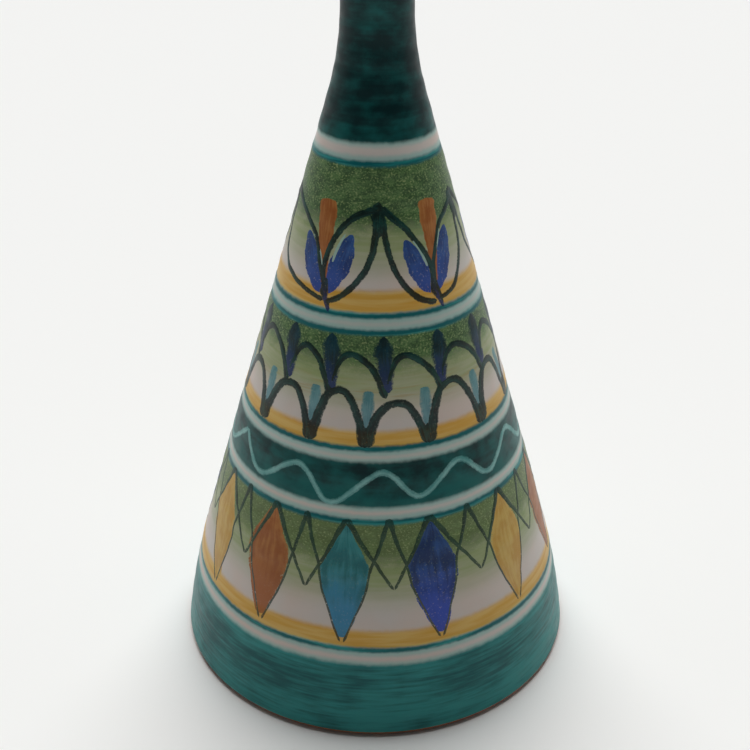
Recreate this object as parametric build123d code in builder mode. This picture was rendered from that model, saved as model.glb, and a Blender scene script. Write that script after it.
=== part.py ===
from build123d import *
import math
import os

# A tall conical bottle vase of tin-glazed earthenware, standing on its foot.
# Millimetres, +Z up, origin at the centre of the standing face.
#
# The clay is built the way a potter builds a bottle this size: a floor slab on
# a foot ring, a thrown wall set on the slab and sealed inside with a coil, and
# a separately thrown neck luted on with slip and finished with a rolled lip.
# White tin glaze covers it outside and lines it inside, and the coloured bands
# are thin raised coats brushed and sponged round it on a banding wheel.

# ---- driving dimensions: the outside, measured over the white glaze ----
overall_height = 290.0
base_radius = 82.0
base_lean = 7.7            # degrees that the wall leans in where it leaves the table
belly_bend = 336.0         # radius of the wall's bulge above the foot
throat_radius = 13.0
throat_length = 8.0        # straight, so that it has a true bore
throat_bend = 110.0        # radius of the sweep from the cone into the throat
flare_bend = 20.0          # radius of the sweep from the throat out to the lip
flare_lean = 44.0          # degrees that the flare has turned out at the lip

# ---- clay ----
wall = 5.0
glaze = 0.5                # one coat of tin glaze, outside and inside alike
foot_height = 4.0
foot_width = 13.0
foot_draft = 2.0           # how much narrower the hollow under the floor is at its top
foot_edge_round = 1.5
floor_thickness = 7.0
seam_coil_width = 7.5      # along the floor
seam_coil_slope = 0.8      # its rise up the wall for each mm of width
neck_joint_height = 222.0  # just above the white line round the shoulder
slip_thickness = 0.8
lip_joint_drop = 2.0       # below the centre of the lip's roll
bare_foot = 2.0            # the foot is wiped clean of glaze this far up

# ---- coloured coats: thickness, and heights from the standing face ----
colour_coat = 0.2
foot_green_top = 31.0
wave_green_heights = (91.0, 107.5)
neck_green_start = 218.2
line_width = 2.0
teal_line_heights = (37.0, 85.6, 112.4, 153.5, 159.3, 211.4)
yellow_band_heights = ((39.0, 44.6), (113.8, 118.8), (161.4, 168.0))
sponged_field_heights = ((63.0, 84.0), (135.0, 152.2), (182.0, 210.0))

# ---- worked out from the sizes above ----
total_wall = wall + 2 * glaze
lip_round = total_wall / 2
floor_top = foot_height + floor_thickness
coil_top = floor_top + seam_coil_width * seam_coil_slope
neck_start = neck_joint_height + slip_thickness

# The lip is a half-round roll across the end of the flared wall.
flare_reach = flare_bend + lip_round
lip_centre = (
    throat_radius + flare_bend - flare_reach * math.cos(math.radians(flare_lean)),
    overall_height - lip_round,
)
lip_joint_height = lip_centre[1] - lip_joint_drop
throat_top = lip_centre[1] - flare_reach * math.sin(math.radians(flare_lean))
throat_start = throat_top - throat_length

# Centres of the three arcs that make the profile, as (radius, height).
belly_centre = (
    base_radius - belly_bend * math.cos(math.radians(base_lean)),
    -belly_bend * math.sin(math.radians(base_lean)),
)
throat_centre = (throat_radius + throat_bend, throat_start)
flare_centre = (throat_radius + flare_bend, throat_top)

# The straight cone is the line that touches both the belly's circle and the
# throat's: its normal, dotted with the line between centres, is the two radii.
across = throat_centre[0] - belly_centre[0]
up = throat_centre[1] - belly_centre[1]
cone_lean = math.degrees(
    math.atan2(up, across) - math.acos((belly_bend + throat_bend) / math.hypot(across, up))
)


def side_line(depth, roll_start, roll_size):
    """Draw one face of the wall, depth mm under the finished outside, from the table to the lip's top."""
    belly = CenterArc(belly_centre, belly_bend - depth, base_lean, cone_lean - base_lean)
    sweep_in = CenterArc(throat_centre, throat_bend + depth, 180 + cone_lean, -cone_lean)
    Line(belly @ 1, sweep_in @ 0)
    flare = CenterArc(flare_centre, flare_bend + depth, 180, -flare_lean)
    Line(sweep_in @ 1, flare @ 0)
    roll = CenterArc(lip_centre, abs(lip_round - depth), roll_start, roll_size)
    return belly @ 0, roll @ 1


def outside_line(depth):
    """Draw an outside face: it goes round the outer half of the lip."""
    return side_line(depth, -flare_lean, 90 + flare_lean)


def inside_line(depth):
    """Draw an inside face: it goes round the inner half of the lip."""
    return side_line(depth, 180 - flare_lean, flare_lean - 90)


def keep_heights(low, high):
    """Trim the sketch to what lies between two heights."""
    reach = 2 * base_radius
    with Locations((reach / 2, (low + high) / 2)):
        Rectangle(reach, high - low, mode=Mode.INTERSECT)


def wall_ring(low, high):
    """Turn the bare clay wall between two heights."""
    with BuildPart() as ring:
        with BuildSketch(Plane.XZ):
            with BuildLine():
                foot_out, lip_top = outside_line(glaze)
                foot_in, lip_top = inside_line(glaze + wall)
                Line(foot_out, foot_in)
            make_face()
            keep_heights(low, high)
        revolve(axis=Axis.Z)
    return ring


def outside_coat(under, over, bands):
    """Turn one thin coat round the outside, between two depths, over each band of heights."""
    with BuildPart() as coat:
        for low, high in bands:
            with BuildSketch(Plane.XZ):
                with BuildLine():
                    under_foot, under_top = outside_line(under)
                    over_foot, over_top = outside_line(over)
                    Line(under_foot, over_foot)
                    Line(under_top, over_top)
                make_face()
                keep_heights(low, high)
            revolve(axis=Axis.Z)
    return coat


def belly_radius(height, depth):
    """Radius of the belly at a height, depth mm under the finished outside."""
    return belly_centre[0] + math.sqrt((belly_bend - depth) ** 2 - (height - belly_centre[1]) ** 2)


def belly_arc(low, high, depth):
    """Draw the stretch of the belly between two heights, depth mm under the finished outside."""
    heights = (low, (low + high) / 2, high)
    return ThreePointArc([(belly_radius(height, depth), height) for height in heights])


def cove(start, end):
    """Draw an arc that leaves start level and curves up to end."""
    run, rise = end[0] - start[0], end[1] - start[1]
    bend = (run**2 + rise**2) / (2 * rise)
    half_turn = math.atan2(rise, run)
    middle = (start[0] + bend * math.sin(half_turn), start[1] + bend * (1 - math.cos(half_turn)))
    return ThreePointArc(start, middle, end)


def save(piece, label):
    """Name a finished piece and write its STEP file."""
    piece.part.label = label
    export_step(piece.part, f"parts/{label}.step")
    print(f"{label:20s} {len(piece.part.solids())} solids, {piece.part.volume / 1000:8.2f} cm3")


os.makedirs("parts", exist_ok=True)
print(f"cone leans {cone_lean:.2f} degrees, throat starts at {throat_start:.2f}")
print(f"bore radius {throat_radius - total_wall:.2f}, lip radius {lip_centre[0] + lip_round:.2f}")

# ---- foot ring: the bare clay ring that the vase stands on ----
with BuildPart() as foot_ring:
    with BuildSketch(Plane.XZ):
        with BuildLine():
            foot_side = belly_arc(0, foot_height, glaze)
            foot_inner = belly_radius(0, glaze) - foot_width
            foot_inner_top = foot_inner - foot_draft
            Polyline(foot_side @ 1, (foot_inner_top, foot_height), (foot_inner, 0), foot_side @ 0)
        make_face()
    revolve(axis=Axis.Z)
    standing_face = foot_ring.faces().sort_by(Axis.Z)[0]
    fillet(standing_face.edges(), foot_edge_round)
save(foot_ring, "foot_ring")

# ---- floor slab, rolled out and cut round ----
with BuildPart() as floor_slab:
    with BuildSketch(Plane.XZ):
        with BuildLine():
            slab_side = belly_arc(foot_height, floor_top, glaze)
            Polyline(slab_side @ 1, (0, floor_top), (0, foot_height), slab_side @ 0)
        make_face()
    revolve(axis=Axis.Z)
save(floor_slab, "floor_slab")

# ---- thrown wall, from the slab up to the neck joint ----
body_wall = wall_ring(floor_top, neck_joint_height)
save(body_wall, "body_wall")

# ---- seam coil: the coil of clay pressed into the corner inside ----
with BuildPart() as seam_coil:
    with BuildSketch(Plane.XZ):
        with BuildLine():
            coil_side = belly_arc(floor_top, coil_top, glaze + wall)
            coil_reach = belly_radius(floor_top, glaze + wall) - seam_coil_width
            coil_cove = cove((coil_reach, floor_top), (belly_radius(coil_top, glaze + wall), coil_top))
            Line(coil_side @ 0, coil_cove @ 0)
        make_face()
    revolve(axis=Axis.Z)
save(seam_coil, "seam_coil")

# ---- slip joint, neck and lip ----
slip_joint = wall_ring(neck_joint_height, neck_start)
save(slip_joint, "slip_joint")
neck = wall_ring(neck_start, lip_joint_height)
save(neck, "neck")
lip_ring = wall_ring(lip_joint_height, overall_height)
save(lip_ring, "lip_ring")

# ---- white tin glaze outside, wiped off the foot ----
outside_glaze = outside_coat(glaze, 0, [(bare_foot, overall_height)])
save(outside_glaze, "outside_glaze")

# ---- lining glaze inside: down the wall, then over the coil and the floor ----
with BuildPart() as lining_glaze:
    with BuildSketch(Plane.XZ):
        with BuildLine():
            clay_foot, clay_top = inside_line(glaze + wall)
            lining_foot, lining_top = inside_line(total_wall)
            Line(clay_foot, lining_foot)
            Line(clay_top, lining_top)
        make_face()
        keep_heights(coil_top, overall_height)
    revolve(axis=Axis.Z)
    with BuildSketch(Plane.XZ):
        lining_floor = floor_top + glaze
        with BuildLine():
            under_cove = cove((coil_reach, floor_top), (belly_radius(coil_top, glaze + wall), coil_top))
            over_cove = cove((coil_reach, lining_floor), (belly_radius(coil_top, total_wall), coil_top))
            Line(under_cove @ 1, over_cove @ 1)
            Polyline(under_cove @ 0, (0, floor_top), (0, lining_floor), over_cove @ 0)
        make_face()
    revolve(axis=Axis.Z)
save(lining_glaze, "lining_glaze")

# ---- coloured coats, each one colour_coat proud of the white glaze ----
foot_green_coat = outside_coat(0, -colour_coat, [(bare_foot, foot_green_top)])
save(foot_green_coat, "foot_green_coat")
wave_green_coat = outside_coat(0, -colour_coat, [wave_green_heights])
save(wave_green_coat, "wave_green_coat")
neck_green_heights = (neck_green_start, overall_height + colour_coat)
neck_green_coat = outside_coat(0, -colour_coat, [neck_green_heights])
save(neck_green_coat, "neck_green_coat")
half_line = line_width / 2
teal_line_bands = [(at - half_line, at + half_line) for at in teal_line_heights]
teal_lines = outside_coat(0, -colour_coat, teal_line_bands)
save(teal_lines, "teal_lines")
yellow_bands = outside_coat(0, -colour_coat, yellow_band_heights)
save(yellow_bands, "yellow_bands")
sponged_green_fields = outside_coat(0, -colour_coat, sponged_field_heights)
save(sponged_green_fields, "sponged_green_fields")
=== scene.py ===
# %% [markdown]
# # A painted bottle vase
#
# This lesson dresses a tall conical bottle vase of tin-glazed earthenware. The
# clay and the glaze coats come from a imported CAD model, which fixes every size.
# Blender adds what a painter at the banding wheel adds: the soft bands, the
# sponged greens and just under two hundred brush strokes, each one a thin
# raised ribbon of pigment lying on the wall.

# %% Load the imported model
import math
import random

import bpy
import numpy as np
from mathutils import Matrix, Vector


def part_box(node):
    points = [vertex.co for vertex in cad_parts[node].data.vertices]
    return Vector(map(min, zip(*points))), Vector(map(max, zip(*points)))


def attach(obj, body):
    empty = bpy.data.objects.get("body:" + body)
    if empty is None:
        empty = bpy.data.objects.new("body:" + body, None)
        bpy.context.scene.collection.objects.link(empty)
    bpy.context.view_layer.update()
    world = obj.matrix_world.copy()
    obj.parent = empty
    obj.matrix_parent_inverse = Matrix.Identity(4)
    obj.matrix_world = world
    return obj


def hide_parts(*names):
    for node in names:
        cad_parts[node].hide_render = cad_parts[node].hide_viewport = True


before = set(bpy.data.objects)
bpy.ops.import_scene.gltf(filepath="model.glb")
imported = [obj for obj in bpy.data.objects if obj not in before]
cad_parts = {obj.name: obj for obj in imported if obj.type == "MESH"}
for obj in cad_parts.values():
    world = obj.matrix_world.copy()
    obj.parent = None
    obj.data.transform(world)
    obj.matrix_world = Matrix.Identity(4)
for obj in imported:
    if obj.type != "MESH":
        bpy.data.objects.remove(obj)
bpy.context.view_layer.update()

MM = 0.001
print("CAD nodes", len(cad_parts))

# %% [markdown]
# ## Camera
#
# The camera stands a little under half a metre from the vase's axis and above
# its middle, looking down on the shoulder, so every band shows as an ellipse. A
# 58 mm lens at that distance gives the strong taper. The lens is shifted a
# little so that the whole foot is in the frame, and the mouth runs out at the top.

# %% Camera
CAMERA_DISTANCE = 429.1 * MM
CAMERA_HEIGHT = 345.15 * MM
CAMERA_DOWN = 27.38
CAMERA_ROLL = -0.19
LENS = 57.9
SHIFT_ACROSS = -0.0042
SHIFT_UP = -0.0236
NEAREST = 10 * MM
bpy.ops.object.camera_add(
    location=(0, -CAMERA_DISTANCE, CAMERA_HEIGHT),
    rotation=(math.radians(90 - CAMERA_DOWN), math.radians(CAMERA_ROLL), 0),
)
camera = bpy.context.object
camera.data.lens = LENS
camera.data.shift_x = SHIFT_ACROSS
camera.data.shift_y = SHIFT_UP
camera.data.clip_start = NEAREST
bpy.context.scene.camera = camera
print("camera lens", LENS, "mm")

# %% [markdown]
# ## The shape of the wall
#
# Every stroke has to lie on the wall, so the script needs the radius at any
# height. The outward faces of the CAD glaze give it: their corners, sorted by
# height, are the outline, and straight lines between them are exact on the cone.
# A place on the pot is an angle and a height, as on a banding wheel. Angle 0
# faces the front and grows to the right.

# %% Read the outline from the CAD glaze
# A face that looks outwards by less than this is the foot's edge or the lip's inner roll.
LEAST_OUTWARD = 0.02


def read_outline(node):
    """Heights and radii of the corners of the node's outward faces, in metres, from the foot up."""
    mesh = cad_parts[node].data
    widest = {}
    for face in mesh.polygons:
        away = Vector((face.center.x, face.center.y, 0)).normalized()
        if face.normal.dot(away) < LEAST_OUTWARD:
            continue
        for index in face.vertices:
            corner = mesh.vertices[index].co
            height = round(corner.z, 6)
            widest[height] = max(widest.get(height, 0), math.hypot(corner.x, corner.y))
    heights = sorted(widest)
    return np.array(heights), np.array([widest[h] for h in heights])


outline_heights, outline_radii = read_outline("outside_glaze")
GLAZE_FOOT = outline_heights[0]
LIP_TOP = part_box("outside_glaze")[1].z
print("outline corners", len(outline_heights), "from", GLAZE_FOOT, "to", outline_heights[-1])

# %% [markdown]
# ## What the potter's hands leave
#
# A thrown pot is never quite round. This one is a fifth of a millimetre oval
# either way, with faint throwing rings 9 mm apart. Both fade out up the neck,
# where a potter trues the wall with a rib, so that the mouth is round.

# %% Places on the wall
OVAL = 0.20 * MM
OVAL_TURN = 0.7
RING_DEPTH = 0.07 * MM
RING_SPACING = 9 * MM
TRUED = 60 * MM
LEAN_STEP = 1.0 * MM


def wall_radius(height):
    """Radius of the white glaze at a height, both in metres."""
    return float(np.interp(height, outline_heights, outline_radii))


def wall_lean(height):
    """How far the wall's face tips up from facing sideways, in radians."""
    narrowing = wall_radius(height - LEAN_STEP) - wall_radius(height + LEAN_STEP)
    return math.atan2(narrowing, 2 * LEAN_STEP)


def thrown(angle, height):
    """How far the thrown wall stands from a true one at an angle and height, in metres."""
    oval = OVAL * math.cos(2 * angle + OVAL_TURN)
    rings = RING_DEPTH * math.sin(math.tau * height / RING_SPACING + angle)
    fade = min(1.0, max(0.0, (LIP_TOP - height) / TRUED))
    return (oval + rings) * fade


middle = (outline_heights[0] + outline_heights[-1]) / 2
print("half way up: radius", wall_radius(middle), "lean", math.degrees(wall_lean(middle)))

# %% [markdown]
# ## Small helpers
#
# Colours are written as sRGB hex values, the way a colour picker shows them, and
# turned to the linear values that Blender works in. One function adds any node:
# its settings are properties, and its inputs are plain values, or nodes or
# sockets to link. On top of it come the few steps that the painting is made of:
# a weighted sum, a soft edge, a ring round the pot, a coat of colour and noise.


# %% Helpers for colours and nodes
def paint(hex_colour):
    """Linear RGBA of an sRGB hex colour."""
    parts = [int(hex_colour[i : i + 2], 16) / 255 for i in (1, 3, 5)]
    linear = [c / 12.92 if c <= 0.04045 else ((c + 0.055) / 1.055) ** 2.4 for c in parts]
    return (*linear, 1.0)


def feed(tree, node, inputs):
    """Fill a node's inputs, by name or number, with values, sockets or other nodes' first outputs."""
    live = [socket for socket in node.inputs if socket.enabled]
    for key, value in dict(inputs).items():
        socket = live[key] if isinstance(key, int) else next(s for s in live if s.name == key)
        if isinstance(value, bpy.types.Node):
            value = next(output for output in value.outputs if output.enabled)
        if isinstance(value, bpy.types.NodeSocket):
            tree.links.new(value, socket)
        else:
            socket.default_value = value


def add(tree, kind, inputs=(), **settings):
    """Add a node with its settings, and fill its inputs."""
    made = tree.nodes.new("ShaderNode" + kind)
    for name, value in settings.items():
        setattr(made, name, value)
    feed(tree, made, inputs)
    return made


# %% Sums, soft edges and coats of paint
def weighed(tree, *parts):
    """The sum of values, each given with its weight."""
    total = None
    for value, weight in parts:
        part = add(tree, "Math", {0: value, 1: weight}, operation="MULTIPLY")
        total = add(tree, "Math", {0: total, 1: part}, operation="ADD") if total else part
    return total


def rising(tree, value, low, high):
    """0 where a value is at low and 1 where it is at high, turning smoothly between them."""
    limits = {"Value": value, "From Min": low, "From Max": high}
    return add(tree, "MapRange", limits, interpolation_type="SMOOTHSTEP")


def ringed(tree, height, bands, low_softness, high_softness):
    """1 inside the bands of heights and 0 outside, with its own softness in mm at each edge."""
    total = None
    for low, high in bands:
        above = rising(tree, height, low - low_softness, low + low_softness)
        past = rising(tree, height, high - high_softness, high + high_softness)
        band = add(tree, "Math", {0: above, 1: past}, operation="SUBTRACT")
        total = add(tree, "Math", {0: total, 1: band}, operation="ADD") if total else band
    return total


def coat(tree, under, over, cover, density=1.0):
    """One colour laid over another where it covers, as thickly as its density says."""
    laid = add(tree, "Math", {0: cover, 1: density}, operation="MULTIPLY")
    return add(tree, "Mix", {"Factor": laid, "A": under, "B": over}, data_type="RGBA")


def blots(tree, place, size_mm, detail=3.0, squash=(1.0, 1.0, 1.0)):
    """Noise from 0 to 1 whose blots are size_mm across, squashed along an axis where asked."""
    scale = tuple(s / (size_mm * MM) for s in squash)
    laid = add(tree, "Mapping", {"Vector": place, "Scale": scale})
    return add(tree, "TexNoise", {"Vector": laid, "Scale": 1.0, "Detail": detail})


print("white is", paint("#ffffff"))

# %% [markdown]
# ## The painted ground
#
# Tin glaze is an opaque warm white. Before it is fired the painter spins the pot
# and holds a loaded brush to it for the bands and pinstripes, and dabs the
# greens on with a sponge. The oxides sink into the glaze as it melts, so every
# edge is soft, the teal bleeds a little aqua into the white beside it, and
# nothing is quite level. All of it depends only on height and a little chance,
# so it is one node group. The wall uses it, and each brush stroke uses it again
# to melt its own edges into whatever colour lies under it.

# %% Heights of the bands, in millimetres
TEAL_LINES = (37.0, 85.6, 112.4, 153.5, 159.3, 211.4)
TEAL_WIDTH = 2.0
YELLOW_BANDS = ((39.0, 44.6), (113.8, 118.8), (161.4, 168.0))
SPONGED_FIELDS = ((63.0, 84.0), (135.0, 152.2), (182.0, 210.0))
SPONGE_FADE = 13.0
OLIVE_FIELD = (50, 90)
WIPED = (129, 137)
FULL_BRUSH = (14, 27)
# Tops of the lighter lower parts of the wave band and of the neck band; each band is drawn darker above
# them.
LIGHTER_WAVE_TOP = 98
LIGHTER_NECK_TOP = 223
# The foot band's lower edge and the neck's upper edge lie off the pot.
UNDER_FOOT = 10.0
PAST_LIP = 5.0
FOOT_GREEN = (0.0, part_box("foot_green_coat")[1].z / MM)
WAVE_GREEN = tuple(corner.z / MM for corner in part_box("wave_green_coat"))
NECK_GREEN = (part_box("neck_green_coat")[0].z / MM, LIP_TOP / MM + PAST_LIP)
print("foot", FOOT_GREEN, "wave", WAVE_GREEN, "neck", NECK_GREEN)

# %% Colours of the glaze and the oxides
TIN_WHITE = paint("#d4ccc5")
TIN_WHITE_WARM = paint("#d8c8be")
AQUA_BLEED = paint("#94c4bd")
TEAL = paint("#066468")
TEAL_THIN = paint("#2b8e8c")
YELLOW = paint("#d9a22c")
YELLOW_THIN = paint("#e2ba5e")
SPONGE_GREEN = paint("#5b804c")
SPONGE_GREEN_DARK = paint("#234929")
SPONGE_PALE = paint("#96a570")
SPONGE_GRAIN = paint("#b0b880")
SPONGE_OLIVE = paint("#7f8c54")
OCHRE_WIPE = paint("#a8905e")
FOOT_GREEN_DEEP = paint("#0c5a5b")
FOOT_GREEN_THIN = paint("#2f8f8c")
BOTTLE_GREEN_DEEP = paint("#01282a")
BOTTLE_GREEN_THIN = paint("#126461")
print("tin white is", TIN_WHITE)

# %% The ground group, and heights on a hand-painted pot
# The hand on the brush drifts slowly up and down, and the wet edge is a little ragged, both in mm.
DRIFT = 1.8
RAGGED = 0.9
ground = bpy.data.node_groups.new("painted_ground", "ShaderNodeTree")
for output, kind in (("Colour", "Color"), ("Roughness", "Float"), ("Relief", "Float")):
    ground.interface.new_socket(output, in_out="OUTPUT", socket_type="NodeSocket" + kind)
place = add(ground, "TexCoord").outputs["Object"]
metres_up = add(ground, "SeparateXYZ", {0: place}).outputs["Z"]
slow = blots(ground, place, 60, 1)
fine = blots(ground, place, 2.5)
strayed = weighed(ground, (metres_up, 1 / MM), (slow, DRIFT), (fine, RAGGED))
height = add(ground, "Math", {0: strayed, 1: (DRIFT + RAGGED) / 2}, operation="SUBTRACT")
print("an edge strays by up to", (DRIFT + RAGGED) / 2, "mm")

# %% Marks of the brush and the sponge
# The glaze's own slow cloudiness.
cloud = blots(ground, place, 25, 4)
# Marks that run round the pot, from a brush held still against the wheel.
streak = blots(ground, place, 26, 4, squash=(1, 1, 14))
fine_streak = blots(ground, place, 14, 5, squash=(1, 1, 13))
# The holes of the sponge, and the dabs it makes.
speckle = blots(ground, place, 0.75, 2, squash=(1, 1, 1.3))
sponge_dabs = blots(ground, place, 4.5, 3, squash=(1, 1, 1.6))
# Where a thick green pooled on the neck and round the wave.
pools = blots(ground, place, 9, 5, squash=(1, 1, 1.3))
print("patterns in nodes", len(ground.nodes))

# %% White glaze and the aqua that bleeds into it
LINE_BLEED = 2.6
BAND_BLEED = 1.2
WAVE_BLEED = 1.4
colour = coat(ground, TIN_WHITE, TIN_WHITE_WARM, rising(ground, cloud, 0.35, 0.65))
bleed_bands = [(at - LINE_BLEED, at + LINE_BLEED) for at in TEAL_LINES]
bleed_bands.append((FOOT_GREEN[0], FOOT_GREEN[1] + BAND_BLEED))
bleed_bands.append((WAVE_GREEN[0] - WAVE_BLEED, WAVE_GREEN[1] + WAVE_BLEED))
bleed_bands.append((NECK_GREEN[0] - BAND_BLEED, NECK_GREEN[1]))
bleed = ringed(ground, height, bleed_bands, 1.0, 1.0)
colour = coat(ground, colour, AQUA_BLEED, bleed, 0.75)
print("bands that bleed", len(bleed_bands))

# %% Yellow bands, thinner where the brush ran dry
low_yellow = [(low - 1.0, high) for low, high in YELLOW_BANDS]
yellow_mask = ringed(ground, height, low_yellow, 0.7, 1.3)
yellow_body = coat(ground, YELLOW_THIN, YELLOW, rising(ground, streak, 0.68, 0.36))
colour = coat(ground, colour, yellow_body, yellow_mask, 0.92)
print("yellow bands", low_yellow)

# %% Sponged green: a pale haze first, and dabs that are solid at the top
HAZE_DROP = 6
haze_bands = [(low - HAZE_DROP, high + 1) for low, high in SPONGED_FIELDS]
haze_mask = ringed(ground, height, haze_bands, SPONGE_FADE * 0.62, 0.8)
uneven = {"Value": streak, "From Min": 0.35, "From Max": 0.65, "To Min": 0.72, "To Max": 0.98}
haze = add(ground, "Math", {0: haze_mask, 1: add(ground, "MapRange", uneven)}, operation="MULTIPLY")
colour = coat(ground, colour, SPONGE_PALE, haze)
cover_bands = [(low + HAZE_DROP, high + 1) for low, high in SPONGED_FIELDS]
cover = ringed(ground, height, cover_bands, SPONGE_FADE * 0.75, 0.8)
touched = weighed(ground, (cover, 1.0), (sponge_dabs, 0.55), (speckle, 0.45))
dabbed = rising(ground, touched, 0.75, 1.35)
print("sponged fields", cover_bands)

# %% The green of the sponge, with grit and pale flecks
grit = weighed(ground, (speckle, 0.6), (sponge_dabs, 0.4))
green_body = coat(ground, SPONGE_GREEN_DARK, SPONGE_GREEN, rising(ground, grit, 0.36, 0.62))
# The lowest field was sponged with less copper, so it is more of an olive.
low_field = ringed(ground, height, [OLIVE_FIELD], 1, 1)
green_body = coat(ground, green_body, SPONGE_OLIVE, low_field, 0.4)
colour = coat(ground, colour, green_body, dabbed, 0.9)
bare_specks = rising(ground, speckle, 0.56, 0.72)
flecks = add(ground, "Math", {0: bare_specks, 1: dabbed}, operation="MULTIPLY")
colour = coat(ground, colour, SPONGE_GRAIN, flecks, 0.6)
# The sponge was wiped on the wheel under the arches, and left faint ochre streaks.
wiped_zone = ringed(ground, height, [WIPED], 3, 3)
wiped_streaks = rising(ground, fine_streak, 0.52, 0.66)
wiped = add(ground, "Math", {0: wiped_zone, 1: wiped_streaks}, operation="MULTIPLY")
colour = coat(ground, colour, OCHRE_WIPE, wiped, 0.4)
print("sponged greens done, nodes", len(ground.nodes))

# %% Foot band, brushed round: darker where the brush was full
foot_mask = ringed(ground, height, [(FOOT_GREEN[0] - UNDER_FOOT, FOOT_GREEN[1])], 1.0, 0.9)
full_brush = ringed(ground, height, [FULL_BRUSH], 4, 3)
foot_load = weighed(ground, (fine_streak, 0.5), (cloud, 0.5), (full_brush, -0.09))
foot_thin = rising(ground, foot_load, 0.28, 0.60)
foot_body = coat(ground, FOOT_GREEN_DEEP, FOOT_GREEN_THIN, foot_thin)
colour = coat(ground, colour, foot_body, foot_mask)
print("foot band up to", FOOT_GREEN[1], "mm")

# %% Wave band and neck: a thick oxide, nearly black where it pooled
deep_mask = ringed(ground, height, [WAVE_GREEN, NECK_GREEN], 0.9, 0.9)
# Each deep band is drawn lighter in its lower part, up to the heights above, and darker towards its top.
lighter_low_bands = [(WAVE_GREEN[0] - 5, LIGHTER_WAVE_TOP), (NECK_GREEN[0] - 5, LIGHTER_NECK_TOP)]
lighter_low_parts = ringed(ground, height, lighter_low_bands, 1, 7)
wave_zone = ringed(ground, height, [WAVE_GREEN], 1, 1)
thinned = weighed(ground, (streak, 0.25), (pools, 0.75), (lighter_low_parts, 0.16), (wave_zone, 0.08))
deep_thin = rising(ground, thinned, 0.40, 0.84)
deep_body = coat(ground, BOTTLE_GREEN_DEEP, BOTTLE_GREEN_THIN, deep_thin)
colour = coat(ground, colour, deep_body, deep_mask)
print("deep green from", WAVE_GREEN[0], "and from", NECK_GREEN[0], "mm")

# %% Teal pinstripes last, on the spinning wheel
teal_bands = [(at - TEAL_WIDTH / 2, at + TEAL_WIDTH / 2) for at in TEAL_LINES]
teal_mask = ringed(ground, height, teal_bands, 0.7, 0.7)
teal_body = coat(ground, TEAL, TEAL_THIN, rising(ground, streak, 0.5, 0.66))
colour = coat(ground, colour, teal_body, teal_mask)
print("pinstripes", len(teal_bands))

# %% Roughness and relief of the ground
# Satin glaze, a little duller in patches, and oxides that stand slightly proud of it.
satin = {"Value": sponge_dabs, "From Min": 0.3, "From Max": 0.7, "To Min": 0.34, "To Max": 0.46}
roughness = add(ground, "MapRange", satin)
oxides = [(mask, 0.5) for mask in (deep_mask, foot_mask, teal_mask, dabbed)]
relief = weighed(ground, *oxides, (fine_streak, 0.35), (speckle, 0.25))
feed(ground, ground.nodes.new("NodeGroupOutput"), {0: colour, 1: roughness, 2: relief})
print("ground nodes", len(ground.nodes))

# %% [markdown]
# ## Finishes
#
# The wall's glaze is one Principled shader fed by the ground group. Fired tin
# glaze is glassy, but this one is a satin: an IOR of about 1.5 and a roughness
# near 0.4 give a broad soft sheen and no hard highlights.


# %% Glaze on the wall
def new_material(name):
    """An empty node material, its tree and its Principled shader."""
    material = bpy.data.materials.new(name)
    material.use_nodes = True
    return material, material.node_tree, material.node_tree.nodes["Principled BSDF"]


GLAZE_IOR = 1.5
# Fine crystals in the cooled glaze break up part of the mirror reflection.
SATIN_SHEEN = 0.2
RELIEF_DEPTH = 0.06 * MM
wall_glaze, tree, shader = new_material("satin_tin_glaze_painted")
base = add(tree, "Group", node_tree=ground)
raised = {"Height": base.outputs["Relief"], "Distance": RELIEF_DEPTH, "Strength": 1.0}
feed(tree, shader, {
    "Base Color": base.outputs["Colour"],
    "Roughness": base.outputs["Roughness"],
    "Normal": add(tree, "Bump", raised),
    "IOR": GLAZE_IOR,
    "Specular IOR Level": SATIN_SHEEN,
})
print("wall glaze", wall_glaze.name)


# %% Lining glaze, bare clay and slip
def mottled(name, dark, light, size_mm, rough, bump_mm, grit_mm):
    """A finish of two mottled colours with a fine grit in its surface."""
    material, tree, shader = new_material(name)
    place = add(tree, "TexCoord").outputs["Object"]
    patches = rising(tree, blots(tree, place, size_mm, 5), 0.35, 0.65)
    dulled = {"Value": patches, "To Min": rough - 0.05, "To Max": rough + 0.05}
    grit = {"Height": blots(tree, place, grit_mm, 4), "Distance": bump_mm * MM, "Strength": 1.0}
    feed(tree, shader, {
        "Base Color": coat(tree, dark, light, patches),
        "Roughness": add(tree, "MapRange", dulled),
        "Normal": add(tree, "Bump", grit),
        "IOR": GLAZE_IOR,
    })
    return material


# The lining is the plain glaze, poured in and out: shinier, with faint runs.
lining = mottled("poured_tin_glaze", paint("#cfc8bd"), paint("#e2dcd2"), 12, 0.25, 0.05, 3)
# Low-fired red earthenware: chalky and open, sanded where the foot was turned.
terracotta = mottled("red_earthenware", paint("#9a5a3c"), paint("#b97752"), 6, 0.85, 0.12, 0.8)
# The slip that joins the neck is the same clay, finer and a little paler.
slip = mottled("clay_slip", paint("#b07a5c"), paint("#c79375"), 5, 0.8, 0.06, 0.5)
clay_pieces = ("foot_ring", "floor_slab", "body_wall", "seam_coil", "neck", "lip_ring")
finishes = dict.fromkeys(clay_pieces, terracotta)
finishes["slip_joint"] = slip
finishes["lining_glaze"] = lining
for name, material in finishes.items():
    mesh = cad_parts[name].data
    mesh.materials.clear()
    mesh.materials.append(material)
print("finished", list(finishes))

# %% [markdown]
# ## The glazed wall
#
# On the real pot this is one skin of glaze, half a millimetre thick, swelling a
# little where a coloured band lies on it. Drawing half the outline and spinning
# it is the wheel itself, and it gives even rows that follow every band. The CAD
# coats meet at sharp steps, so this one skin stands for the white glaze and for
# all six sets of coloured coats.

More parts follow.
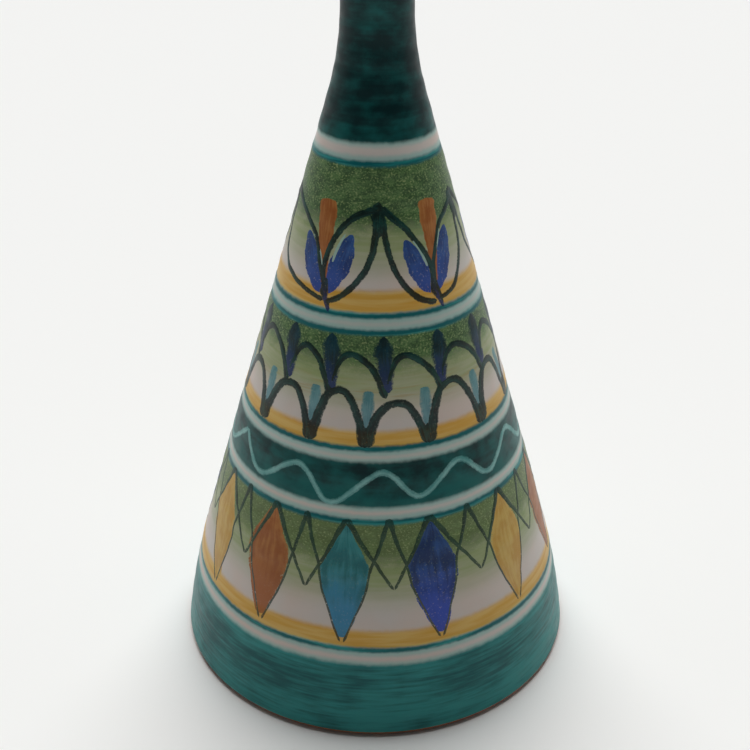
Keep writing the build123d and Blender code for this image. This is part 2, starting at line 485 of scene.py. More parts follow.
# %% Outline of the glazed wall
COAT_BUILD = 0.12 * MM
COAT_EDGE = 0.8
ROW_STEP = 1.4 * MM
LIP_STEP = 0.3 * MM
LIP_ZONE = 7.0 * MM
ROLLED_EDGE = 0.6 * MM
INNER_ROLL = 1.6 * MM
TOP_COAT = 0.14 * MM
coated_bands = [FOOT_GREEN, WAVE_GREEN, NECK_GREEN, *YELLOW_BANDS, *SPONGED_FIELDS, *teal_bands]


def coat_build(height):
    """How proud the coloured bands stand of the white, in metres, with soft edges."""
    mm = height / MM
    inside_by = max(min(mm - low, high - mm) for low, high in coated_bands)
    return COAT_BUILD * min(1.0, max(0.0, inside_by / COAT_EDGE + 0.5))


straight_rows = np.arange(GLAZE_FOOT + ROLLED_EDGE, LIP_TOP - LIP_ZONE, ROW_STEP)
lip_rows = np.arange(LIP_TOP - LIP_ZONE, LIP_TOP - 0.02 * MM, LIP_STEP)
# The skin starts on the clay, wiped back from the foot, and rolls out over its own lower edge.
foot_radius = wall_radius(GLAZE_FOOT)
foot_roll = [
    (foot_radius - 0.5 * MM, GLAZE_FOOT),
    (foot_radius - 0.2 * MM, GLAZE_FOOT - 0.05 * MM),
    (foot_radius, GLAZE_FOOT + 0.15 * MM),
]
rows_up = [(wall_radius(z) + coat_build(z), z) for z in (*straight_rows, *lip_rows)]
lip_middle = outline_radii[-1]
lip_crest = (lip_middle, LIP_TOP + TOP_COAT)
inner_rows = [z for z in lip_rows[::-1] if z > LIP_TOP - INNER_ROLL]
rows_down = [(2 * lip_middle - wall_radius(z) - TOP_COAT, z) for z in inner_rows]
wall_outline = [*foot_roll, *rows_up, lip_crest, *rows_down]
print("outline points", len(wall_outline))

# %% Spin the outline on the wheel
WHEEL_STEPS = 240
SAME_PLACE = 0.002 * MM
bpy.ops.object.select_all(action="DESELECT")
bpy.ops.mesh.primitive_plane_add(size=MM, location=(wall_outline[0][0], 0, wall_outline[0][1]))
glazed_wall = bpy.context.object
glazed_wall.name = "glazed_wall"
bpy.ops.object.transform_apply(location=True, rotation=True, scale=True)
bpy.ops.object.mode_set(mode="EDIT")
bpy.ops.mesh.select_all(action="SELECT")
bpy.ops.mesh.merge(type="CENTER")
for (r0, z0), (r1, z1) in zip(wall_outline, wall_outline[1:]):
    bpy.ops.mesh.extrude_vertices_move(TRANSFORM_OT_translate={"value": (r1 - r0, 0, z1 - z0)})
bpy.ops.mesh.select_all(action="SELECT")
bpy.ops.mesh.spin(steps=WHEEL_STEPS, angle=math.tau, center=(0, 0, 0), axis=(0, 0, 1))
bpy.ops.mesh.select_all(action="SELECT")
bpy.ops.mesh.remove_doubles(threshold=SAME_PLACE)
bpy.ops.mesh.normals_make_consistent(inside=False)
bpy.ops.object.mode_set(mode="OBJECT")
bpy.ops.object.shade_smooth()
print("wall", len(glazed_wall.data.vertices), "vertices", len(glazed_wall.data.polygons), "faces")

# %% The potter's hands, and a map for the bake
# Unrolled as on a drawing: angle across, height up, and the lip's inner roll above its top. A
# face's corners stay on its own side of the seam.
MARGIN = 0.01
MAP_WIDTH = 0.98
MAP_HEIGHT = 0.97
for vertex in glazed_wall.data.vertices:
    angle = math.atan2(vertex.co.x, -vertex.co.y)
    away = Vector((vertex.co.x, vertex.co.y, 0)).normalized()
    vertex.co += away * thrown(angle, vertex.co.z)
unrolled = glazed_wall.data.uv_layers.new(name="OFBake")
for face in glazed_wall.data.polygons:
    face_angle = math.atan2(face.center.x, -face.center.y)
    for loop in face.loop_indices:
        corner = glazed_wall.data.vertices[glazed_wall.data.loops[loop].vertex_index].co
        turn = (math.atan2(corner.x, -corner.y) - face_angle + math.pi) % math.tau - math.pi
        across = 0.5 + (face_angle + turn) / math.tau
        faces_in = face.normal.x * corner.x + face.normal.y * corner.y < 0
        up = 2.0 - corner.z / LIP_TOP if faces_in else corner.z / LIP_TOP
        unrolled.data[loop].uv = (MARGIN + MAP_WIDTH * across, MARGIN + MAP_HEIGHT * up)
print("unrolled corners", len(unrolled.data))

# %% Hand the glazed wall over
glazed_wall.data.materials.append(wall_glaze)
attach(glazed_wall, "root")
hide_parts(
    "outside_glaze",
    "foot_green_coat",
    "wave_green_coat",
    "neck_green_coat",
    "teal_lines",
    "yellow_bands",
    "sponged_green_fields",
)
print("glazed wall replaces seven CAD coats")

# %% [markdown]
# ## Brush strokes
#
# A stroke of oxide stands a tenth of a millimetre or so proud of the glaze,
# thick in the middle and thin at its rim. It starts as a flat grid. Each corner
# is then moved to its place along a smooth line through a few points, given as
# angle, height and width of the brush, and laid on the wall there. Its
# rim goes a little under the glaze, so no gap shows. A grid keeps its own map,
# along and across the stroke, and the paint uses it for the bristle marks and
# soft rims.

# %% The surface that strokes lie on
# The outside rows, from the foot roll's last point to the row below the lip's crest.
outer_rows = wall_outline[len(foot_roll) - 1 : len(foot_roll) + len(rows_up)]
row_heights = np.array([z for r, z in outer_rows])
row_radii = np.array([r for r, z in outer_rows])
chance = random.Random(7)


def on_glaze(angle, height, lift):
    """The point at an angle in degrees and height in mm that stands lift mm off the painted wall."""
    z = height * MM
    turn = math.radians(angle)
    lean = wall_lean(z)
    radius = float(np.interp(z, row_heights, row_radii)) + thrown(turn, z)
    radius += lift * MM * math.cos(lean)
    return Vector((radius * math.sin(turn), -radius * math.cos(turn), z + lift * MM * math.sin(lean)))


print("outside rows", len(outer_rows))

# %% A smooth line through chosen points
FINE_STEPS = 14
SPACING = 1.0
FEWEST_STEPS = 6


def smooth_line(points):
    """Even places in mm along a Catmull-Rom line through (angle, height, width) points."""
    knots = [np.array(p, float) for p in (points[0], *points, points[-1])]
    fine = []
    for before, start, end, after in zip(knots, knots[1:], knots[2:], knots[3:]):
        for t in np.linspace(0, 1, FINE_STEPS, endpoint=False):
            bend = (end - before) * t + (2 * before - 5 * start + 4 * end - after) * t * t
            fine.append(start + 0.5 * (bend + (3 * start - before - 3 * end + after) * t**3))
    fine.append(knots[-1])
    fine = np.array(fine)
    radius = np.interp(fine[:, 1] * MM, row_heights, row_radii) / MM
    steps = np.hypot(np.radians(np.diff(fine[:, 0])) * radius[1:], np.diff(fine[:, 1]))
    travelled = np.concatenate(([0], np.cumsum(steps)))
    count = max(FEWEST_STEPS, int(travelled[-1] / SPACING))
    even = np.linspace(0, travelled[-1], count + 1)
    return np.array([np.interp(even, travelled, fine[:, k]) for k in range(3)]).T, travelled[-1]


print("a quarter turn at 100 mm is", round(smooth_line([(0, 100, 1), (90, 100, 1)])[1], 1), "mm long")

# %% Lay one stroke
RIM_SUNK = 0.05
# The sunk rim hides a part of the width, so every stroke is made that much wider.
WATERLINE = 1.2
NARROWEST_CAP = 0.3
NARROWEST_END = 0.12
THIN_END = 0.25
# How a hand-held brush wavers: turns of a sine, in radians for each mm along the stroke.
SWAY_TURNS = 0.35
RIM_TURNS = 0.9
FINE_RIM_TURNS = 2.3
# How far it sways in mm, and how much of each waver shows at a rim.
SWAY = 0.12
FINE_RIM = 0.6
RIM_WAVER = 0.6


def stroke(points, lift, flat=2, cells=4, wander=0.10, blunt=0.5):
    """Lay one stroke. flat shapes its section, wander is how uneven its rims are."""
    line, length = smooth_line(points)
    count = len(line) - 1
    bpy.ops.mesh.primitive_grid_add(x_subdivisions=count, y_subdivisions=cells, size=1)
    piece = bpy.context.object
    # One phase for each rim, one for the sway, and one to spare.
    phases = [chance.uniform(0, math.tau) for _ in range(4)]
    radius = np.interp(line[:, 1] * MM, row_heights, row_radii) / MM
    round_by, up_by = np.gradient(np.radians(line[:, 0])) * radius, np.gradient(line[:, 1])
    long = np.hypot(round_by, up_by)
    for vertex in piece.data.vertices:
        at = round((vertex.co.x + 0.5) * count)
        across = 2 * vertex.co.y
        run = length * at / count
        width = line[at, 2] * WATERLINE
        cap = max(NARROWEST_CAP, width * blunt)
        end = min(1.0, max(0.0, min(run, length - run)) / cap)
        width *= max(NARROWEST_END, math.sqrt(1 - (1 - end) ** 2))
        rim = phases[0] if across > 0 else phases[1]
        uneven = math.sin(run * RIM_TURNS + rim) + FINE_RIM * math.sin(run * FINE_RIM_TURNS + 2 * rim)
        width *= 1 + wander * uneven * RIM_WAVER
        reach = across * width / 2 + SWAY * math.sin(run * SWAY_TURNS + phases[2])
        angle = line[at, 0] - math.degrees(up_by[at] / long[at] * reach / radius[at])
        height = line[at, 1] + round_by[at] / long[at] * reach
        thick = lift * (1 - abs(across) ** flat) * min(1.0, THIN_END + end)
        vertex.co = on_glaze(angle, height, thick - RIM_SUNK)
    return piece


# %% Gather strokes into a piece
painted_groups = {}


def gather(strokes, name, material):
    """Join strokes into one piece, give each its own strip of the baking map, and hand it over."""
    for number, piece in enumerate(strokes):
        along_across = piece.data.uv_layers[0]
        along_across.name = "stroke"
        strips = piece.data.uv_layers.new(name="OFBake")
        for here, there in zip(along_across.data, strips.data):
            u, v = here.uv
            there.uv = (MARGIN + MAP_WIDTH * u, (number + 0.1 + 0.8 * v) / len(strokes))
        piece.data.uv_layers.active_index = 0
    bpy.ops.object.select_all(action="DESELECT")
    for piece in strokes:
        piece.select_set(True)
    bpy.context.view_layer.objects.active = strokes[0]
    if len(strokes) > 1:
        bpy.ops.object.join()
    whole = bpy.context.view_layer.objects.active
    whole.name = name
    whole.data.materials.clear()
    whole.data.materials.append(material)
    bpy.ops.object.mode_set(mode="EDIT")
    bpy.ops.mesh.select_all(action="SELECT")
    bpy.ops.mesh.normals_make_consistent(inside=False)
    bpy.ops.object.mode_set(mode="OBJECT")
    sample = whole.data.polygons[len(whole.data.polygons) // 2]
    if sample.normal.x * sample.center.x + sample.normal.y * sample.center.y < 0:
        whole.data.flip_normals()
    bpy.ops.object.shade_smooth()
    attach(whole, "root")
    painted_groups[name] = len(strokes)
    print(name, len(strokes), "strokes", len(whole.data.polygons), "faces")


# %% [markdown]
# ## Paint for the strokes
#
# Each oxide is laid on by a soft brush over raw glaze. It is denser where the
# brush was full, drags into bristle marks along the stroke, and sinks into the
# glaze at its rims. Under the deep colours a few grains of white glaze show
# through. A wash that was tipped to one end changes colour towards it.

# %% Oxide brushed over raw glaze
FRAY = 0.55
BRISTLE_RELIEF = 0.04 * MM
BRISTLES = 9
PULLS = 2.5


def brushed_oxide(name, full, dry, density=0.95, rim=0.3, grains=0.35, run_out=None):
    """Paint whose rim melts into the painted ground over a share rim of its half width."""
    material, tree, shader = new_material(name)
    under = add(tree, "Group", node_tree=ground)
    place = add(tree, "TexCoord").outputs["Object"]
    own_map = add(tree, "UVMap", uv_map="stroke")
    across = add(tree, "SeparateXYZ", {0: own_map}).outputs["Y"]
    signed = add(tree, "Math", {0: weighed(tree, (across, 2.0)), 1: 1.0}, operation="SUBTRACT")
    off_middle = add(tree, "Math", {0: signed}, operation="ABSOLUTE")
    frays = (blots(tree, place, 1.2), FRAY), (blots(tree, place, 0.5, 1), FRAY)
    frayed = weighed(tree, (off_middle, 1.0), *frays)
    from_rim = add(tree, "Math", {0: 1.0 + FRAY, 1: frayed}, operation="SUBTRACT")
    cover = rising(tree, from_rim, 0.0, rim)
    laid = add(tree, "Mapping", {"Vector": own_map, "Scale": (PULLS, BRISTLES, 1)})
    marks = add(tree, "TexNoise", {"Vector": laid, "Scale": 1.0, "Detail": 3.0})
    load = weighed(tree, (marks, 0.55), (blots(tree, place, 6), 0.45))
    body = coat(tree, full, dry, rising(tree, load, 0.40, 0.62))
    if run_out:
        along = add(tree, "SeparateXYZ", {0: own_map}).outputs["X"]
        far = weighed(tree, (along, 1.0), (load, 1.0))
        body = coat(tree, body, run_out, rising(tree, far, 0.8, 1.35))
    grain = rising(tree, blots(tree, place, 0.7, 2), 0.60, 0.72)
    body = coat(tree, body, under.outputs["Colour"], grain, grains)
    feed(tree, shader, {
        "Base Color": coat(tree, under.outputs["Colour"], body, cover, density),
        "Roughness": under.outputs["Roughness"],
        "Normal": add(tree, "Bump", {"Height": marks, "Distance": BRISTLE_RELIEF, "Strength": 1.0}),
        "IOR": GLAZE_IOR,
        "Specular IOR Level": SATIN_SHEEN,
    })
    return material


# %% Dark outline oxides
outline_green = brushed_oxide(
    "copper_cobalt_outline", paint("#00171a"), paint("#07423f"), rim=0.4, grains=0.12
)
dry_outline = brushed_oxide(
    "dry_brush_outline", paint("#0a2723"), paint("#23483b"), 0.86, grains=0.75
)
ink = brushed_oxide(
    "thick_cobalt_ink", paint("#02212a"), paint("#0b3a4a"), rim=0.5, grains=0.15, run_out=paint("#122d60")
)
print("outlines", outline_green.name, dry_outline.name, ink.name)

# %% Colour washes
cobalt = brushed_oxide(
    "cobalt_wash", paint("#15387a"), paint("#2a579c"), rim=0.2, grains=0.35, run_out=paint("#1e4ba0")
)
deep_cobalt = brushed_oxide(
    "pooled_cobalt_wash", paint("#0f2d63"), paint("#2a4f8c"), rim=0.12, grains=0.3, run_out=paint("#2349b5")
)
orange = brushed_oxide(
    "iron_orange_wash", paint("#9c5626"), paint("#b87840"), rim=0.14, grains=0.1, run_out=paint("#a8602c")
)
yellow = brushed_oxide(
    "antimony_yellow_wash", paint("#c9973a"), paint("#d6b25c"), 0.9, rim=0.12, grains=0.15
)
turquoise = brushed_oxide(
    "copper_turquoise_wash", paint("#1a6c74"), paint("#3d8f92"), rim=0.12, grains=0.15,
    run_out=paint("#2f86ae"),
)
thin_turquoise = brushed_oxide(
    "thin_turquoise_wash", paint("#35808c"), paint("#5a98a2"), 0.85, rim=0.6, grains=0.2
)
print("washes", cobalt.name, deep_cobalt.name, orange.name, yellow.name, turquoise.name)

# %% Pale lines
pale_aqua = brushed_oxide("pale_aqua_line", paint("#8fc4bf"), paint("#579d99"), 0.9, rim=0.8, grains=0.15)
haze_aqua = brushed_oxide("aqua_highlight", paint("#a9cdc6"), paint("#8fbcb6"), 0.8, rim=0.8, grains=0.1)
print("pale lines", pale_aqua.name, haze_aqua.name)

# %% [markdown]
# ## The leaf band
#
# Five pairs of pointed leaves hang between dark knots. Every leaf is two
# strokes pulled from the knot down to the foot of the next upright stroke. No
# two are alike, so there are two right leaves and two left leaves, each given
# as shares of the way from its knot to its foot. An orange stroke stands above
# each foot with a cobalt petal on either side.

# %% Leaf shapes: share of the way across, height, width
# Each leaf is its upper stroke and its lower stroke.
BROAD_RIGHT_LEAF = (
    [
        (0.05, 197, 3.2), (0.31, 192.8, 2.7), (0.6, 187.6, 2.5),
        (0.88, 180, 2.6), (0.98, 174, 2.8), (0.95, 165, 2.2),
    ],
    [
        (0.04, 195.5, 3.0), (0.17, 183, 2.5), (0.31, 174, 2.4),
        (0.6, 166, 2.5), (0.86, 162.6, 2.4), (1.0, 162.5, 2.2),
    ],
)
SLIM_RIGHT_LEAF = (
    [
        (0.04, 196.5, 2.6), (0.28, 193.6, 2.4), (0.47, 191, 2.2),
        (0.67, 186.7, 2.1), (0.8, 182, 2.2), (1.0, 166, 2.3),
    ],
    [
        (0.02, 195.5, 2.4), (0.1, 180, 2.2), (0.28, 171, 2.0),
        (0.48, 168, 1.9), (0.82, 164.5, 1.9), (1.0, 163.5, 2.0),
    ],
)
BROAD_LEFT_LEAF = (
    [
        (0.0, 196, 3.4), (0.3, 195, 2.8), (0.62, 192, 2.6), (0.94, 185, 2.6),
        (1.09, 177, 2.8), (1.0, 165, 2.4), (0.87, 161.5, 1.6),
    ],
    [
        (0.03, 195.5, 3.2), (0.08, 184, 2.8), (0.18, 178, 2.6), (0.37, 172, 2.5),
        (0.62, 166.5, 2.4), (0.88, 163.6, 2.2), (1.0, 163.5, 1.8),
    ],
)
SLIM_LEFT_LEAF = (
    [
        (0.05, 195, 2.6), (0.38, 191.7, 2.2), (0.65, 188, 2.2),
        (0.88, 180, 2.4), (0.98, 171, 2.7), (0.9, 159.5, 1.7),
    ],
    [
        (0.0, 195.5, 2.6), (0.09, 180, 2.3), (0.3, 172, 2.1),
        (0.53, 166, 2.0), (0.85, 163.4, 1.8), (1.0, 163.5, 1.8),
    ],
)
LEAF_KNOTS = (1.1, 69.3, 139.0, 208.0, 277.0)
LEAF_FEET = (35.4, 104.0, 173.5, 243.0, 329.8)
LAST = len(LEAF_KNOTS) - 1


def between(knot, foot, shape):
    """Turn shares of the way from a knot to a foot into angles."""
    return [(knot + (foot - knot) * share, height, width) for share, height, width in shape]


print("leaf pairs", len(LEAF_KNOTS))

# %% Leaves and their knots
leaf_outlines = []
uprights = []
petals = []
petal_lights = []
petal_feet = []


def paint_leaves(knot, next_knot, foot, right_leaf, left_leaf):
    """The two leaves that meet at a foot, and the knot that the right one hangs from."""
    for leaf, start in ((right_leaf, knot), (left_leaf, next_knot)):
        for line in leaf:
            leaf_outlines.append(stroke(between(start, foot, line), 0.17))
    crown = [(knot - 5.5, 195.3, 4.4), (knot - 1, 195.8, 7.4), (knot + 4.5, 195.2, 5.0)]
    leaf_outlines.append(stroke(crown, 0.2))
    stem = [(knot - 0.8, 197, 5.4), (knot - 0.4, 191, 5.0), (knot - 0.2, 186, 1.8)]
    leaf_outlines.append(stroke(stem, 0.18))


def paint_upright(foot, lean):
    """The orange stroke above a foot, pulled down and leaning by some degrees."""
    upright = [(foot + lean * 1.3, 198.5, 8.2), (foot + lean * 1.1, 190, 7.4)]
    upright += [(foot + lean * 0.8, 180, 4.8), (foot + lean * 0.3, 168, 2.2)]
    uprights.append(stroke(upright, 0.11, flat=6, cells=6, blunt=0.25))


def paint_petal(foot, side, out, top):
    """One cobalt petal to the left (-1) or right (1) of a foot, with the light along its upper rim."""
    petal = [(foot + side * (out + 1.5), top + 2, 1.4), (foot + side * out * 0.85, top - 3, 6.4)]
    petal += [(foot + side * out * 0.62, top - 8, 8.6), (foot + side * out * 0.36, top - 13.5, 7.4)]
    petal.append((foot + side * 1.5, 165.5, 3.0))
    petals.append(stroke(petal, 0.10, flat=6, cells=6, blunt=0.6))
    light = [(foot + side * (out - 3.5), top + 1.8, 1.0)]
    light.append((foot + side * (out * 0.5 - 1.8), top - 4.2, 1.5))
    light.append((foot + side * (out * 0.22 - 0.8), top - 9.2, 1.0))
    petal_lights.append(stroke(light, 0.14))


# %% Go round the leaf band
PETAL_REACH = 15.5
for number, (knot, foot) in enumerate(zip(LEAF_KNOTS, LEAF_FEET)):
    last = number == LAST
    next_knot = LEAF_KNOTS[0] + 360 if last else LEAF_KNOTS[number + 1]
    right_leaf = SLIM_RIGHT_LEAF if last else BROAD_RIGHT_LEAF
    left_leaf = BROAD_LEFT_LEAF if last else SLIM_LEFT_LEAF
    paint_leaves(knot, next_knot, foot, right_leaf, left_leaf)
    paint_upright(foot, -5.5 if last else 3.0)
    paint_petal(foot, -1, PETAL_REACH + (3.5 if last else 0), 183.6)
    paint_petal(foot, 1, PETAL_REACH - (2.5 if last else 0), 185.5)
    stem = [(foot - 0.5, 171.5, 2.6), (foot - 0.3, 167.5, 3.6), (foot + 1.5, 162.5, 2.0)]
    petal_feet.append(stroke(stem, 0.2))
    flick = [(foot - 3, 167.5, 2.6), (foot + 1.0, 163.5, 2.2), (foot + 4.0, 159.5, 1.5)]
    petal_feet.append(stroke(flick, 0.19))

gather(petal_lights, "petal_lights", haze_aqua)
gather(uprights, "orange_uprights", orange)
gather(petals, "cobalt_petals", cobalt)
gather(leaf_outlines, "leaf_outlines", outline_green)
gather(petal_feet, "petal_feet", ink)

# %% [markdown]
# ## The arch band
#
# Two rows of thirteen arches, the upper row standing on the crowns of the
# lower. The painter pressed the brush down for a fat ink drop over each upper
# foot, and touched a turquoise drop over each lower foot first. Each lower foot
# is pressed down again on the white line.

# %% Arch feet
ARCH_STEP_UPPER = 28.34
ARCH_STEP_LOWER = 28.48
UPPER_FEET = [-74, -44.2, -20.8, 4.6, 31.5, 59.3]
UPPER_FEET += [59.3 + ARCH_STEP_UPPER * n for n in range(1, 8)]
LOWER_FEET = [-55, -28.2, -4.4, 22, 50.4, 77.2]
LOWER_FEET += [77.2 + ARCH_STEP_LOWER * n for n in range(1, 8)]


def pairs_round(feet):
    """Each foot with the next one round the pot."""
    return zip(feet, [*feet[1:], feet[0] + 360])


print("arches", len(UPPER_FEET), "above", len(LOWER_FEET))

# %% Arch shapes: share of the way across, height, width
UPPER_ARCH = [(0.0, 134, 3.2), (0.05, 139, 2.9), (0.14, 142.8, 2.7), (0.27, 145.2, 2.6), (0.41, 145.4, 2.6)]
UPPER_ARCH += [(0.57, 143.8, 2.7), (0.73, 141, 2.8), (0.86, 137.3, 3.0), (0.95, 133, 3.3), (1.0, 130.5, 2.8)]
LOWER_ARCH = [(0.05, 113, 4.2), (0.08, 119, 4.4), (0.15, 124.5, 4.0), (0.29, 129.5, 3.3), (0.5, 131.3, 3.0)]
LOWER_ARCH += [(0.68, 129.8, 3.1), (0.82, 124.8, 3.3), (0.91, 119.5, 3.6), (0.955, 113, 4.0)]
# The upper crowns stray up and down, and each lower arch is stretched to a crown of its own.
UPPER_CROWN_FROM = 140
UPPER_CROWN_STRAY = 1.0
LOWER_FOOT = 113
LOWER_CROWN = 131
LOWER_CROWNS = (130.5, 132.5, 128.5, 133.0, 132.5, 131.5)


def raised_crown(rise):
    """The upper arch with its crown raised by some mm."""
    crown_raised = []
    for share, height, width in UPPER_ARCH:
        crown_raised.append((share, height + rise * (height > UPPER_CROWN_FROM), width))
    return crown_raised


def stretched_arch(crown):
    """The lower arch stretched up to a crown."""
    stretch = (crown - LOWER_CROWN) / (LOWER_CROWN - LOWER_FOOT)
    return [(share, height + stretch * (height - LOWER_FOOT), width) for share, height, width in LOWER_ARCH]


print("lower crowns from", min(LOWER_CROWNS), "to", max(LOWER_CROWNS))

# %% Arches and drops
arch_outlines = []
ink_drops = []
water_drops = []
for start, end in pairs_round(UPPER_FEET):
    arch = raised_crown(chance.uniform(-UPPER_CROWN_STRAY, UPPER_CROWN_STRAY))
    arch_outlines.append(stroke(between(start, end, arch), 0.16))
for number, (start, end) in enumerate(pairs_round(LOWER_FEET)):
    arch = stretched_arch(LOWER_CROWNS[number % len(LOWER_CROWNS)])
    arch_outlines.append(stroke(between(start, end, arch), 0.17))
    pressed_foot = [(start, 120.5, 2.0), (start + 0.3, 116.5, 4.8), (start, 112.8, 5.6)]
    arch_outlines.append(stroke(pressed_foot, 0.18))
    touch = chance.uniform(-1.5, 1.5)
    water = [(start + touch, 134.2, 4.6), (start + touch * 0.7, 128, 5.4), (start, 119, 4.0)]
    water_drops.append(stroke(water, 0.09, flat=4, cells=5))
for foot in UPPER_FEET:
    sway = chance.uniform(-1.8, 1.2)
    drop = [(foot + sway, 152.6, 3.0), (foot + sway * 0.9, 147.5, 7.4)]
    drop += [(foot + sway * 0.4, 141.5, 6.8), (foot, 136.5, 5.2), (foot + 1.2, 132.3, 2.8)]
    ink_drops.append(stroke(drop, 0.15, flat=3, cells=6, wander=0.14))

gather(water_drops, "turquoise_drops", thin_turquoise)
gather(arch_outlines, "arch_outlines", outline_green)
gather(ink_drops, "ink_drops", ink)

# %% [markdown]
# ## The wave line
#
# Eleven waves of pale aqua are painted over the dark green band in one turn of
# the wheel, so they are a single stroke that meets its own start.

# %% Wave
WAVE_STEP = 33.01
crests = [(-63.6, 104.5), (-30.7, 103.5), (2.1, 104), (33.4, 104), (65.3, 104)]
crests += [(65.3 + WAVE_STEP * n, 104) for n in range(1, 7)]
dips = [(-49.6, 93.5), (-16.8, 92), (16.5, 94.3), (48.4, 94.5)]
dips += [(81.4 + WAVE_STEP * n, 93.5) for n in range(7)]
wave = []
for crest, dip in zip(crests, dips):
    wave += [(*crest, 2.7), (*dip, 2.5)]
wave.append((wave[0][0] + 360, wave[0][1], 2.6))
gather([stroke(wave, 0.14, wander=0.12)], "wave_line", pale_aqua)

# %% [markdown]
# ## The diamond band
#
# Twelve diamonds hang from the teal line. The washes went on first, straight
# down the pot, in the order yellow, orange, turquoise, cobalt. Then two zigzags
# were drawn with a dry brush: one from the top of each diamond to the foot of
# the small diamond beside it, one from the top of each small diamond, bowed
# round the widest part of a large one, to its foot.

# %% Diamonds: the angles of their tops and feet
DIAMONDS = [(-66, -61), (-37.7, -37), (-10.3, -10), (19, 20), (50.4, 50.5), (81, 80)]
DIAMONDS += [(112, 111), (143, 143.5), (174, 174), (205, 204), (235, 235.5), (265, 265)]
# A small diamond hangs after each large one. Its foot also has a height.
SMALL_TOPS = [-52.6, -24.8, 4.6, 34.4, 64.8]
SMALL_FEET = [(-48.6, 60), (-22.8, 58.5), (5.9, 60), (36.9, 60), (65.8, 59.5)]
tops_round = [top for top, foot in DIAMONDS] + [DIAMONDS[0][0] + 360]
for top, next_top in list(zip(tops_round, tops_round[1:]))[len(SMALL_TOPS) :]:
    SMALL_TOPS.append((top + next_top) / 2 + chance.uniform(-1.5, 1.5))
    SMALL_FEET.append((SMALL_TOPS[-1] + 1.5, 59.5 + chance.uniform(-1.5, 1.5)))
print("large diamonds", len(DIAMONDS), "small", len(SMALL_TOPS))

# %% Washes and lines of a diamond
WASHES = (
    ("yellow_diamonds", "yellow_glaze", yellow),
    ("orange_diamonds", "orange_glaze", orange),
    ("turquoise_diamonds", "turquoise_glaze", turquoise),
    ("cobalt_diamonds", "cobalt_glaze", deep_cobalt),
)
washes = [[] for _ in WASHES]
diamond_lines = []


def diamond_wash(top, foot, wider, shift):
    """The wash of one large diamond, pulled down from the teal line to its foot."""
    shape = [(top, 84.5, 2.4), (top, 80, 6.2), (top, 75, 11.6), (top, 68, 18.0)]
    shape += [(top * 0.7 + foot * 0.3, 60, 16.8), (top * 0.4 + foot * 0.6, 50, 10.2)]
    shape += [(foot, 45, 6.4), (foot, 41, 2.8)]
    shape = [(angle + shift, height, width * wider) for angle, height, width in shape]
    return stroke(shape, 0.08, flat=8, cells=12, wander=0.035, blunt=0.2)


def short_line(top, small_foot, low):
    """The line from a diamond's top to the foot of a small one, at the height low."""
    halfway = ((top + small_foot) / 2, (86 + low) / 2 + 0.5, 1.6)
    return stroke([(top, 86.5, 2.8), halfway, (small_foot, low, 1.2)], 0.15, wander=0.2)


def bowed_line(top, foot, side, small_top):
    """The line from a small diamond's top, round the left (-1) or right (1) of a large one."""
    bow = [(small_top, 87, 2.4), ((small_top + top + side * 8.8) / 2, 77, 1.6)]
    bow += [(top + side * 8.7, 68, 1.2), (top * 0.7 + foot * 0.3 + side * 7.2, 60, 1.0)]
    bow += [(top * 0.4 + foot * 0.6 + side * 4.0, 50, 0.9), (foot + side * 0.4, 39.5, 1.1)]
    return stroke(bow, 0.14, wander=0.2)


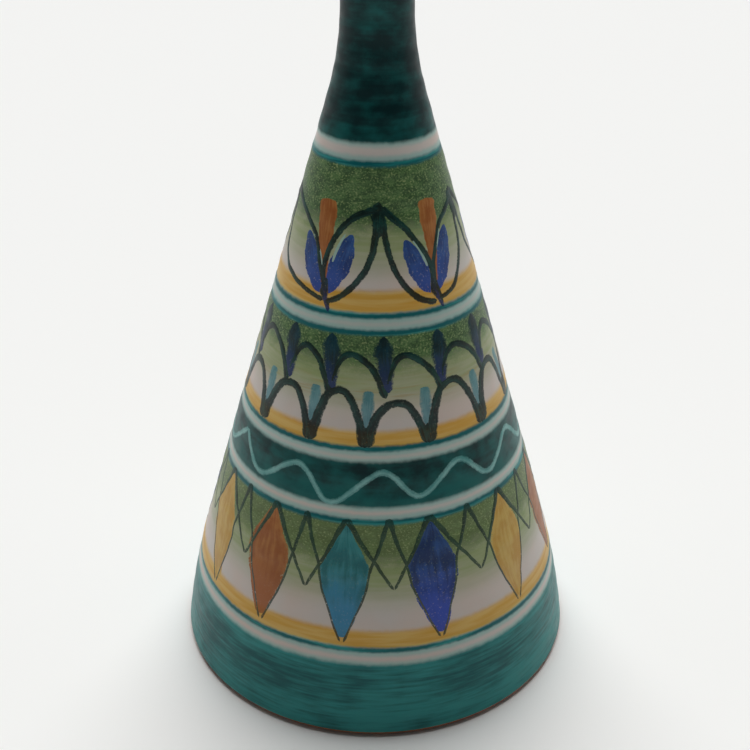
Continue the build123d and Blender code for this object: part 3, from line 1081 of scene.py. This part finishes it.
# %% Go round the diamond band
# The orange and cobalt washes are a little wider, and the orange ones slipped to the left.
WIDER_WASH = 1.06
SLIP = -0.8
for number, (top, foot) in enumerate(DIAMONDS):
    wider = WIDER_WASH if number % 2 == 1 else 1.0
    shift = SLIP if number % 4 == 1 else 0.0
    washes[number % 4].append(diamond_wash(top, foot, wider, shift))
    # The small diamond before the first large one is the last, a turn back.
    back = 360 if number == 0 else 0
    foot_before, low_before = SMALL_FEET[number - 1]
    diamond_lines.append(short_line(top, foot_before - back, low_before))
    diamond_lines.append(short_line(top, *SMALL_FEET[number]))
    diamond_lines.append(bowed_line(top, foot, -1, SMALL_TOPS[number - 1] - back))
    diamond_lines.append(bowed_line(top, foot, 1, SMALL_TOPS[number]))

for strokes, (name, slot, material) in zip(washes, WASHES):
    gather(strokes, name, material)
gather(diamond_lines, "diamond_lines", dry_outline)
print("strokes in all", sum(painted_groups.values()))

# %% [markdown]
# ## Floor and light
#
# A pale sweep and soft light, as in a light tent: one broad light overhead and
# one from each side, a little weaker, so that the middle of the vase, which
# faces the camera and the dark room behind it, is the darkest part.

# %% Floor
FLOOR_SIZE = 12
bpy.ops.mesh.primitive_plane_add(size=FLOOR_SIZE, location=(0, 0, 0))
floor = bpy.context.object
floor.name = "floor"
floor_paint, tree, shader = new_material("pale_sweep")
feed(tree, shader, {"Base Color": paint("#f7f7f5"), "Roughness": 0.9})
floor.data.materials.append(floor_paint)
print("floor", FLOOR_SIZE, "m across")


# %% Lights
def tent_light(name, direction, strength, spread):
    """A very distant soft light that shines along a direction, spread degrees across."""
    bpy.ops.object.light_add(type="SUN", location=(0, 0, 1))
    light = bpy.context.object
    light.name = name
    light.data.energy = strength
    light.data.angle = math.radians(spread)
    light.rotation_euler = Vector(direction).to_track_quat("-Z", "Y").to_euler()
    print(name, strength)


tent_light("behind_overhead", (0, -0.55, -1), 3.15, 55)
tent_light("left_side", (1, -0.35, -0.3), 0.22, 50)
tent_light("right_side", (-1, -0.35, -0.3), 0.22, 50)

# %% The tent that the camera sees, and the dim room that the vase sees
world = bpy.data.worlds.new("tent")
bpy.context.scene.world = world
world.use_nodes = True
sky = world.node_tree
sky.nodes.clear()
seen = add(sky, "LightPath").outputs["Is Camera Ray"]
tent = add(sky, "Background", {"Color": paint("#f2f2f2"), "Strength": 1.0})
room = add(sky, "Background", {"Color": paint("#e8ecee"), "Strength": 0.06})
add(sky, "OutputWorld", {"Surface": add(sky, "MixShader", {0: seen, 1: room, 2: tent})})
bpy.context.scene.view_settings.view_transform = "Standard"
print("sky nodes", len(sky.nodes))
